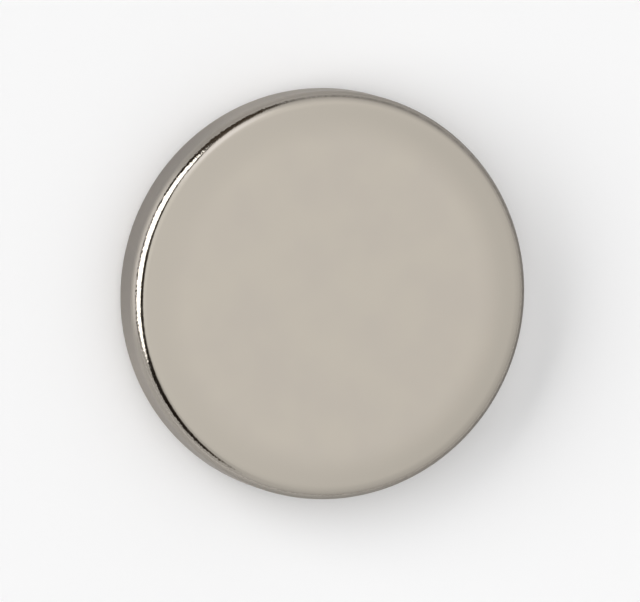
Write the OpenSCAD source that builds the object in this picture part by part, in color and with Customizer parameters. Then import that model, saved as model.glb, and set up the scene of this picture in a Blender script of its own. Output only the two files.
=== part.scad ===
// Disc magnet: one solid disc of sintered neodymium, nickel plated all over.
// Millimetres. The axis is +Z and the lower pole face lies on z = 0.

/* [Disc] */
// Diameter across the rim
disc_d = 25; // [10:0.5:60]
// Thickness from pole face to pole face
disc_t = 4; // [3:0.1:12]

/* [Tumbled edge] */
// Radius of the edge between the rim and each pole face
edge_r = 0.95; // [0.2:0.05:1.2]
// Width of the soft roll-off between the flat of a pole face and the edge
rolloff_w = 1.55; // [0.5:0.05:2.5]
// Radius of the arc that makes the roll-off
rolloff_r = 25; // [15:0.5:60]

/* [Hidden] */

// Facets of a full turn in the preview
turn_facets = 180;
// Bright nickel plate
nickel = [0.76, 0.73, 0.68];
// How far a trimming strip runs past the section
over = 1;

// Radii from the axis: the rim, the centre of the edge arc and the flat of a pole face
rim_r = disc_d / 2;
edge_x = rim_r - edge_r;
flat_r = edge_x - rolloff_w;

// Heights above the mid-plane. The roll-off is tangent to the pole face and
// the edge arc lies inside the roll-off's circle, tangent to it and to the rim.
half_t = disc_t / 2;
rolloff_z = half_t - rolloff_r;
edge_z = rolloff_z + sqrt((rolloff_r - edge_r) ^ 2 - rolloff_w ^ 2);

// Radius from the axis at which the roll-off hands over to the edge arc
handover_r = flat_r + rolloff_w * rolloff_r / (rolloff_r - edge_r);

// Rectangle of the section between two radii and two heights
module band(r0, r1, z0, z1) {
    polygon([[r0, z0], [r1, z0], [r1, z1], [r0, z1]]);
}

// Circle about a point of the section, kept only where its child lies
module arc_in(centre, r) {
    intersection() {
        translate(centre)
            circle(r, $fn = turn_facets);
        children();
    }
}

// Section above the mid-plane, from the axis out to the rim
module half_section() {
    band(0, flat_r, 0, half_t);
    arc_in([flat_r, rolloff_z], rolloff_r)
        band(flat_r, handover_r, 0, half_t + over);
    arc_in([edge_x, edge_z], edge_r)
        band(handover_r, rim_r + over, edge_z, half_t + over);
    band(handover_r, rim_r, 0, edge_z);
}

// Both pole faces are alike, so the section is mirrored about the mid-plane
module disc_magnet() {
    color(nickel)
        translate([0, 0, half_t])
            rotate_extrude($fn = turn_facets) {
                half_section();
                mirror([0, 1])
                    half_section();
            }
}

disc_magnet();
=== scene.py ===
"""Disc magnet: the looks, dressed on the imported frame. Metres throughout, +Z along the disc's axis."""
import math

import bpy
from mathutils import Matrix, Vector


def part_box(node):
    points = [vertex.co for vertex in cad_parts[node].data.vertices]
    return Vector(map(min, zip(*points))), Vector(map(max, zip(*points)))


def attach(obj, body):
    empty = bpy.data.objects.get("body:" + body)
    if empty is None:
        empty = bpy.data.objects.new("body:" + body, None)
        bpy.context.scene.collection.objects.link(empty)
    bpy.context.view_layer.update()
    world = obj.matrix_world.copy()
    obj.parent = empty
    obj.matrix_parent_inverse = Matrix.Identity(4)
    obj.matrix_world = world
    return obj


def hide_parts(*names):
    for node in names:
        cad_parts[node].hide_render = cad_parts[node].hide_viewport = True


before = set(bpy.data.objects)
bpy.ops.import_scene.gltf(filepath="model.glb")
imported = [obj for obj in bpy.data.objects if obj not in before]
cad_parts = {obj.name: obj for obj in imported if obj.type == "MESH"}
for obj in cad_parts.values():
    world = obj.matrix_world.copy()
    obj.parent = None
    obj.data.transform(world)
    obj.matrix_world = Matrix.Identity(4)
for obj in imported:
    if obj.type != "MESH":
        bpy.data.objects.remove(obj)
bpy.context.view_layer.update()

MM = 0.001
UPRIGHT = math.pi / 2

# The disc's size comes from the frame. Its tumbled edge is the one in the part's source.
LO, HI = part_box("disc_magnet")
RIM_R = (HI[0] - LO[0]) / 2
DISC_T = HI[2] - LO[2]
EDGE_R = 0.95 * MM
ROLLOFF_W = 1.55 * MM
ROLLOFF_R = 25 * MM

# Steps of the mesh along the section and round the axis
FACE_STEPS = 8
ROLLOFF_STEPS = 14
EDGE_STEPS = 36
RIM_STEPS = 4
ROUND_STEPS = 320

# Picture azimuths run anticlockwise from the picture's right. PICTURE_TURN turns them all
# about the axis, which a round disc doesn't notice. It keeps the softbox and the dark flags
# out of what the flat face mirrors in most views from the sides.
PICTURE_TURN = math.radians(-127)
# The camera looks from above the rim at NEAR_SIDE, and TILT off the disc's axis
NEAR_SIDE = math.radians(162.5)
TILT = math.radians(17.15)


# ---------------------------------------------------------------- mesh

def arc(centre, radius, start, end, steps):
    """Points (radius from the axis, height, slope) along an arc. Slopes in radians: 0 is level."""
    points = []
    for i in range(steps + 1):
        slope = start + (end - start) * i / steps
        points.append((
            centre[0] + radius * math.sin(slope),
            centre[1] + radius * math.cos(slope),
            slope,
        ))
    return points


def half_section():
    """(radius, height above the mid-plane, slope) from the axis out to the mid-plane at the rim."""
    half_t = DISC_T / 2
    edge_x = RIM_R - EDGE_R
    flat_r = edge_x - ROLLOFF_W
    rolloff_z = half_t - ROLLOFF_R
    edge_z = rolloff_z + math.sqrt((ROLLOFF_R - EDGE_R) ** 2 - ROLLOFF_W ** 2)
    handover = math.asin(ROLLOFF_W / (ROLLOFF_R - EDGE_R))
    flat = [(flat_r * i / FACE_STEPS, half_t, 0.0) for i in range(FACE_STEPS)]
    rolloff = arc((flat_r, rolloff_z), ROLLOFF_R, 0, handover, ROLLOFF_STEPS)
    edge = arc((edge_x, edge_z), EDGE_R, handover, UPRIGHT, EDGE_STEPS)
    rim = [(RIM_R, edge_z * (1 - i / RIM_STEPS), UPRIGHT) for i in range(1, RIM_STEPS + 1)]
    return flat + rolloff + edge[1:] + rim


def revolve(name, section, segments):
    """Mesh object of a closed section turned about the axis. Both of its end points lie on the axis."""
    verts = []
    normals = []
    faces = []
    for radius, z, slope in section[1:-1]:
        for k in range(segments):
            turn = math.tau * k / segments
            out_x = math.cos(turn)
            out_y = math.sin(turn)
            verts.append((radius * out_x, radius * out_y, z))
            normals.append((math.sin(slope) * out_x, math.sin(slope) * out_y, math.cos(slope)))
    last_ring = len(section) - 3
    for i in range(last_ring):
        inner = i * segments
        outer = (i + 1) * segments
        for k in range(segments):
            n = (k + 1) % segments
            faces.append((inner + k, outer + k, outer + n, inner + n))
    for end, ring, flip in ((section[0], 0, False), (section[-1], last_ring, True)):
        hub = len(verts)
        verts.append((0.0, 0.0, end[1]))
        normals.append((0.0, 0.0, math.cos(end[2])))
        for k in range(segments):
            pair = (ring * segments + k, ring * segments + (k + 1) % segments)
            faces.append((hub, *(reversed(pair) if flip else pair)))
    mesh = bpy.data.meshes.new(name)
    mesh.from_pydata(verts, [], faces)
    mesh.shade_smooth()
    mesh.normals_split_custom_set_from_vertices(normals)
    piece = bpy.data.objects.new(name, mesh)
    bpy.context.collection.objects.link(piece)
    return piece


def make_disc():
    top = half_section()
    bottom = [(r, -z, math.pi - slope) for r, z, slope in reversed(top[:-1])]
    section = [(r, z + DISC_T / 2, slope) for r, z, slope in top + bottom]
    return revolve("plated_disc", section, ROUND_STEPS)


# ---------------------------------------------------------------- node helpers

def link_or_set(tree, value, socket):
    if isinstance(value, bpy.types.NodeSocket):
        tree.links.new(value, socket)
    else:
        socket.default_value = value


def calc(tree, operation, *values):
    node = tree.nodes.new("ShaderNodeMath")
    node.operation = operation
    for socket, value in zip(node.inputs, values):
        link_or_set(tree, value, socket)
    return node.outputs[0]


def ramp(tree, value, start, end, low=0.0, high=1.0, smooth=True):
    """low before start, high after end and a blend between them, eased where smooth"""
    node = tree.nodes.new("ShaderNodeMapRange")
    node.interpolation_type = "SMOOTHSTEP" if smooth else "LINEAR"
    for socket, v in zip(node.inputs, (value, start, end, low, high)):
        link_or_set(tree, v, socket)
    return node.outputs[0]


def mix_value(tree, factor, a, b):
    node = tree.nodes.new("ShaderNodeMix")
    node.data_type = "FLOAT"
    for socket, v in zip((node.inputs[0], node.inputs[2], node.inputs[3]), (factor, a, b)):
        link_or_set(tree, v, socket)
    return node.outputs[0]


def mix_colour(tree, factor, a, b):
    node = tree.nodes.new("ShaderNodeMix")
    node.data_type = "RGBA"
    for socket, v in zip((node.inputs[0], node.inputs[6], node.inputs[7]), (factor, a, b)):
        link_or_set(tree, v, socket)
    return node.outputs[2]


def split(tree, vector):
    """The x, y and z of a vector"""
    node = tree.nodes.new("ShaderNodeSeparateXYZ")
    tree.links.new(vector, node.inputs[0])
    return node.outputs


def noise(tree, coordinates, size, detail=2.0):
    """Soft noise around 0.5, with features of about the given size in metres"""
    node = tree.nodes.new("ShaderNodeTexNoise")
    tree.links.new(coordinates, node.inputs["Vector"])
    node.inputs["Scale"].default_value = 1 / size
    node.inputs["Detail"].default_value = detail
    return node.outputs["Fac"]


def bump(tree, height, distance):
    node = tree.nodes.new("ShaderNodeBump")
    node.inputs["Distance"].default_value = distance
    tree.links.new(height, node.inputs["Height"])
    return node.outputs[0]


def toward(tree, coordinates, picture_azimuth):
    """1 at the rim on that side of the disc, -1 at the rim across from it, 0 half-way"""
    turn = math.radians(picture_azimuth) + PICTURE_TURN
    node = tree.nodes.new("ShaderNodeVectorMath")
    node.operation = "DOT_PRODUCT"
    tree.links.new(coordinates, node.inputs[0])
    node.inputs[1].default_value = (math.cos(turn) / RIM_R, math.sin(turn) / RIM_R, 0)
    return node.outputs["Value"]


# ---------------------------------------------------------------- materials

# The lapped face, and the ring round it that darkens towards the edge, with painted shade on the side away
# from the softbox
LIGHT_NICKEL = (0.616, 0.564, 0.486, 1)
DARK_NICKEL = (0.596, 0.545, 0.476, 1)
RING_NICKEL = (0.566, 0.520, 0.450, 1)
SHADED_RING_NICKEL = (0.530, 0.487, 0.421, 1)
# The tumbled edge, its crest and its shoulder, darker than the face partly as duller plating and partly as
# painted shade
EDGE_NICKEL = (0.430, 0.395, 0.348, 1)
SHADED_EDGE_NICKEL = (0.345, 0.316, 0.279, 1)
CREST_SHADE_NICKEL = (0.215, 0.196, 0.172, 1)
SHOULDER_NICKEL = (0.360, 0.331, 0.293, 1)
SHADED_SHOULDER_NICKEL = (0.330, 0.304, 0.270, 1)
LIT_SHOULDER_NICKEL = (0.530, 0.488, 0.435, 1)
# The ground rim, darker than the face partly as duller plating and partly as painted shade
RIM_NICKEL = (0.530, 0.490, 0.442, 1)
RIM_SHADE = (0.400, 0.371, 0.340, 1)
# Metal seen at a shallow angle
GRAZING_TINT = (0.5, 0.5, 0.5, 1)

CLOUD_SIZE = 3.5 * MM
PATCH_SIZE = 1.3 * MM
SPECK_SIZE = 0.35 * MM
GRAIN_SIZE = 0.15 * MM
GRAIN_DEPTH = 0.012 * MM
FACE_GRAIN = 0.12
# How far in from the rim the face's dull ring starts and is full
RING_START = 3.4 * MM
RING_FULL = 1.1 * MM
SHADED_SHOULDER_LEAD = 0.05
SMOOTH_ROUGHNESS = 0.10
PATCH_ROUGHNESS = 0.13
GROUND_ROUGHNESS = 0.38

# Picture azimuths of the side with the most painted shade, of the shoulder with painted light
# and of the darkest painted shade on the rim
PAINTED_SHADE_SIDE = 15
LIT_SHOULDER_SIDE = 165
DARK_RIM_SIDE = 157

PAPER_WHITE = (0.95, 0.95, 0.95, 1)
PAPER_ROUGHNESS = 0.9


def plate_colour(tree, place, level):
    """Colour of the plating, with painted shade and painted light on the edge. level is the upright share
    of the normal: 1 on the face, 0 on the rim.
    """
    clouds = noise(tree, place, CLOUD_SIZE, detail=3)
    specks = noise(tree, place, SPECK_SIZE, detail=3)
    spot = split(tree, place)
    x_squared = calc(tree, "POWER", spot["X"], 2)
    y_squared = calc(tree, "POWER", spot["Y"], 2)
    radius = calc(tree, "SQRT", calc(tree, "ADD", x_squared, y_squared))

    # Painted shade darkens the ring, the edge and the shoulder, most of all on the side away from the
    # softbox
    side = toward(tree, place, PAINTED_SHADE_SIDE)
    far_shade = ramp(tree, side, start=-1.0, end=0.8)
    edge_shade = ramp(tree, side, start=-0.85, end=0.90)
    shoulder_shade = ramp(tree, side, start=-0.85, end=-0.50)

    # The face darkens towards its own edge, and its ring takes painted shade on the side away from the
    # softbox
    cloudy = ramp(tree, clouds, start=0.3, end=0.7)
    face_colour = mix_colour(tree, cloudy, LIGHT_NICKEL, DARK_NICKEL)
    ring = ramp(tree, radius, start=RIM_R - RING_START, end=RIM_R - RING_FULL)
    ring_colour = mix_colour(tree, far_shade, RING_NICKEL, SHADED_RING_NICKEL)
    face_colour = mix_colour(tree, ring, face_colour, ring_colour)

    # The shoulder's darker colour starts a little nearer to the face where the painted shade lies
    edge_colour = mix_colour(tree, edge_shade, EDGE_NICKEL, SHADED_EDGE_NICKEL)
    shoulder_level = calc(tree, "MULTIPLY_ADD", shoulder_shade, -SHADED_SHOULDER_LEAD, level)
    shoulder = ramp(tree, shoulder_level, start=0.67, end=0.53)
    shoulder_colour = mix_colour(tree, shoulder_shade, SHOULDER_NICKEL, SHADED_SHOULDER_NICKEL)
    # Painted light brightens the shoulder on the softbox's side, fading out towards the rim
    bright_side = ramp(tree, toward(tree, place, LIT_SHOULDER_SIDE), start=0.86, end=0.96)
    bright = calc(tree, "MULTIPLY", bright_side, ramp(tree, level, start=0.17, end=0.52))
    shoulder_colour = mix_colour(tree, bright, shoulder_colour, LIT_SHOULDER_NICKEL)
    edge_colour = mix_colour(tree, shoulder, edge_colour, shoulder_colour)

    # Painted shade lays a dark line along the turn of the edge on the side away from the softbox, broken up
    # by specks
    crest_start = ramp(tree, level, start=0.80, end=0.72)
    crest_end = ramp(tree, level, start=0.64, end=0.58)
    crest = calc(tree, "SUBTRACT", crest_start, crest_end)
    crest = calc(tree, "MULTIPLY", crest, far_shade)
    speckled = ramp(tree, specks, start=0.40, end=0.60, low=0.6, high=1.0)
    crest = calc(tree, "MULTIPLY", crest, speckled)
    edge_colour = mix_colour(tree, crest, edge_colour, CREST_SHADE_NICKEL)

    # The edge runs out into the ground rim
    # Painted shade darkens the rim most near DARK_RIM_SIDE
    shaded = ramp(tree, toward(tree, place, DARK_RIM_SIDE), start=0.70, end=1.0)
    rim_colour = mix_colour(tree, shaded, RIM_NICKEL, RIM_SHADE)
    rim = ramp(tree, level, start=0.52, end=0.0)
    edge_colour = mix_colour(tree, rim, edge_colour, rim_colour)
    return mix_colour(tree, edge_mask(tree, level), face_colour, edge_colour)


def edge_mask(tree, level):
    """0 on the face, 1 from the middle of the edge on"""
    return ramp(tree, level, start=0.94, end=0.70)


def plate_roughness(tree, place, level):
    """Polished in slightly uneven patches on face and edge, ground on the shoulder and the rim"""
    patches = noise(tree, place, PATCH_SIZE)
    polished = ramp(tree, patches, start=0.3, end=0.7, low=SMOOTH_ROUGHNESS, high=PATCH_ROUGHNESS)
    ground = ramp(tree, level, start=0.57, end=0.47)
    return mix_value(tree, ground, polished, GROUND_ROUGHNESS)


def plate_grain(tree, place, level):
    """A fine grain all over, much fainter on the lapped face"""
    grain = noise(tree, place, GRAIN_SIZE, detail=1)
    depth = mix_value(tree, edge_mask(tree, level), FACE_GRAIN, 1.0)
    return bump(tree, calc(tree, "MULTIPLY", grain, depth), GRAIN_DEPTH)


def nickel_plate():
    """Bright nickel over a lapped face, a tumbled edge with a fine grain and a duller ground rim, with
    painted shade and light on edge and rim
    """
    material = bpy.data.materials.new("nickel_plate")
    material.use_nodes = True
    tree = material.node_tree
    shader = tree.nodes["Principled BSDF"]
    shader.inputs["Metallic"].default_value = 1.0
    shader.inputs["Specular Tint"].default_value = GRAZING_TINT
    coordinates = tree.nodes.new("ShaderNodeTexCoord")
    place = coordinates.outputs["Object"]
    level = calc(tree, "ABSOLUTE", split(tree, coordinates.outputs["Normal"])["Z"])
    tree.links.new(plate_colour(tree, place, level), shader.inputs["Base Color"])
    tree.links.new(plate_roughness(tree, place, level), shader.inputs["Roughness"])
    tree.links.new(plate_grain(tree, place, level), shader.inputs["Normal"])
    return material


def floor_paper():
    material = bpy.data.materials.new("floor_paper")
    material.use_nodes = True
    shader = material.node_tree.nodes["Principled BSDF"]
    shader.inputs["Base Color"].default_value = PAPER_WHITE
    shader.inputs["Roughness"].default_value = PAPER_ROUGHNESS
    shader.inputs["Specular IOR Level"].default_value = 0.0
    return material


# ---------------------------------------------------------------- studio

CAMERA_DISTANCE = 90 * RIM_R
PICTURE_W = 38.97 * MM
CLIP_START = 0.01
CLIP_END = 10
FLOOR_REACH = 1.5

# Where the middle of the upper face falls in the picture, from the picture's own middle
FACE_RIGHT = 0.726 * MM
FACE_UP = 0.274 * MM

# Strengths in the studio are shares of ZENITH, and its azimuths are counted from SOFTBOX_SIDE
ZENITH = 0.9
SOFTBOX_SIDE = math.radians(168)
BRIGHT_SIDE = math.radians(-33)
SOFTBOX_LEVEL = 4.2
GLOW_LEVEL = 1.46
THIN_FLAG_LEVEL = 0.75
SURROUND_LEVEL = 0.03
DARK_LEVEL = 0.02

# Tints of the studio's cloths
WHITE = (1.0, 1.0, 1.0)
BROWN = (1.0, 0.78, 0.58)
COOL = (0.99, 0.99, 1.04)


def make_camera():
    near_turn = NEAR_SIDE + PICTURE_TURN
    near = Vector((math.cos(near_turn), math.sin(near_turn), 0))
    back = near * math.sin(TILT) + Vector((0, 0, math.cos(TILT)))
    along = (near - back * near.dot(back)).normalized()
    across = back.cross(along)
    right = along * math.cos(NEAR_SIDE) - across * math.sin(NEAR_SIDE)
    up = along * math.sin(NEAR_SIDE) + across * math.cos(NEAR_SIDE)
    aim = Vector((0, 0, DISC_T)) - right * FACE_RIGHT - up * FACE_UP
    data = bpy.data.cameras.new("camera")
    data.lens = data.sensor_width * CAMERA_DISTANCE / PICTURE_W
    data.clip_start = CLIP_START
    data.clip_end = CLIP_END
    camera = bpy.data.objects.new("camera", data)
    bpy.context.collection.objects.link(camera)
    turn = Matrix((right, up, back)).transposed().to_4x4()
    camera.matrix_world = Matrix.Translation(aim + back * CAMERA_DISTANCE) @ turn
    bpy.context.scene.camera = camera


def make_floor():
    corners = [
        (-FLOOR_REACH, -FLOOR_REACH, 0),
        (FLOOR_REACH, -FLOOR_REACH, 0),
        (FLOOR_REACH, FLOOR_REACH, 0),
        (-FLOOR_REACH, FLOOR_REACH, 0),
    ]
    mesh = bpy.data.meshes.new("floor")
    mesh.from_pydata(corners, [], [(0, 1, 2, 3)])
    mesh.materials.append(floor_paper())
    floor = bpy.data.objects.new("floor", mesh)
    bpy.context.collection.objects.link(floor)


def cloth_colour(tint):
    return (*(ZENITH * share for share in tint), 1)


def light_colour(tree, strength):
    """The flags are brown cloth, the tent and the softbox are white and the glow is a little cooler"""
    lit = ramp(tree, strength, start=0.05, end=0.5)
    cloth = mix_colour(tree, lit, cloth_colour(BROWN), cloth_colour(WHITE))
    above_tent = ramp(tree, strength, start=1.12, end=1.4)
    above_glow = ramp(tree, strength, start=1.5, end=2.5)
    glowing = calc(tree, "SUBTRACT", above_tent, above_glow)
    return mix_colour(tree, glowing, cloth, cloth_colour(COOL))


def make_world():
    """Light tent with one softbox low at the picture's left, dark flags round it and a glow past its end"""
    world = bpy.data.worlds.new("studio")
    bpy.context.scene.world = world
    world.use_nodes = True
    tree = world.node_tree
    background = tree.nodes["Background"]
    direction = tree.nodes.new("ShaderNodeTexCoord").outputs["Generated"]
    turned = tree.nodes.new("ShaderNodeVectorRotate")
    turned.rotation_type = "Z_AXIS"
    tree.links.new(direction, turned.inputs["Vector"])
    turned.inputs["Angle"].default_value = -(PICTURE_TURN + SOFTBOX_SIDE)
    x, y, z = split(tree, turned.outputs[0])
    azimuth = calc(tree, "DEGREES", calc(tree, "ARCTAN2", y, x))
    polar = calc(tree, "DEGREES", calc(tree, "ARCCOSINE", z))

    def panel(at, half_w, down, half_h, slope=0.0, bend=0.0, soft=0.1, power=2.0):
        """1 inside a rounded panel and 0 outside it, by angles in degrees.

        at is its middle's azimuth and down its middle's angle from the zenith. The middle line
        can slope and bend, and a higher power squares the corners.
        """
        across = calc(tree, "SUBTRACT", azimuth, at)
        line = calc(tree, "MULTIPLY_ADD", across, bend, slope)
        line = calc(tree, "MULTIPLY_ADD", across, line, down)
        u = calc(tree, "DIVIDE", across, half_w)
        u = calc(tree, "POWER", calc(tree, "ABSOLUTE", u), power)
        v = calc(tree, "DIVIDE", calc(tree, "SUBTRACT", polar, line), half_h)
        v = calc(tree, "POWER", calc(tree, "ABSOLUTE", v), power)
        far = calc(tree, "POWER", calc(tree, "ADD", u, v), 1 / power)
        return ramp(tree, far, start=1 - soft, end=1 + soft, low=1.0, high=0.0)

    # The tent is brightest high up and towards BRIGHT_SIDE
    facing = calc(tree, "MULTIPLY", x, math.cos(BRIGHT_SIDE))
    facing = calc(tree, "MULTIPLY_ADD", y, math.sin(BRIGHT_SIDE), facing)
    shade = ramp(tree, facing, start=-0.86, end=-0.16, low=0.75, high=1.0, smooth=False)
    shine = ramp(tree, facing, start=-0.10, end=0.30, low=0.0, high=0.12)
    walls = ramp(tree, polar, start=20, end=80, low=1.12, high=0.83, smooth=False)
    tent = calc(tree, "MINIMUM", calc(tree, "ADD", shade, shine), walls)

    # Laid over each other in this order. Upper and lower ends are as the picture has them.
    graded_level = ramp(tree, polar, start=80, end=120, low=0.12, high=0.83)
    surround = panel(at=-1.5, half_w=44.5, down=60, half_h=31.5, slope=-0.09, bend=-0.0015,
                     soft=0.07, power=2.4)
    softbox = panel(at=-2.5, half_w=42.4, down=64.1, half_h=18.9, slope=0.10, bend=-0.0031,
                    soft=0.06)
    strength = tent
    for mask, level in (
        # At the softbox's upper end: a glow high up, and a flag under it that lightens downwards
        (panel(at=-57, half_w=22, down=36, half_h=17, soft=0.6), GLOW_LEVEL),
        (panel(at=-48, half_w=31, down=77, half_h=29, slope=-0.25, soft=0.22), graded_level),
        # At its lower end: a thin flag far round, a long dark one and a small one near the floor
        (panel(at=78, half_w=36, down=45, half_h=12, slope=0.25, soft=0.5), THIN_FLAG_LEVEL),
        (panel(at=43.5, half_w=46, down=52.3, half_h=15.6, slope=0.24, soft=0.16), DARK_LEVEL),
        (panel(at=26.5, half_w=7.5, down=92, half_h=14, soft=0.35), DARK_LEVEL),
        # A small flag over its upper end, the flag all round it, and itself
        (panel(at=-41, half_w=9.5, down=55, half_h=17, soft=0.15), DARK_LEVEL),
        (surround, SURROUND_LEVEL),
        (softbox, SOFTBOX_LEVEL),
        # A small flag along its lower border
        (panel(at=-8.5, half_w=16.5, down=86.5, half_h=7.5, soft=0.2, power=3.0), DARK_LEVEL),
    ):
        strength = mix_value(tree, mask, strength, level)
    tree.links.new(strength, background.inputs["Strength"])
    tree.links.new(light_colour(tree, strength), background.inputs["Color"])


make_camera()
disc = make_disc()
disc.data.materials.append(nickel_plate())
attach(disc, "root")
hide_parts("disc_magnet")
make_floor()
make_world()

bpy.context.scene.view_settings.view_transform = "Standard"
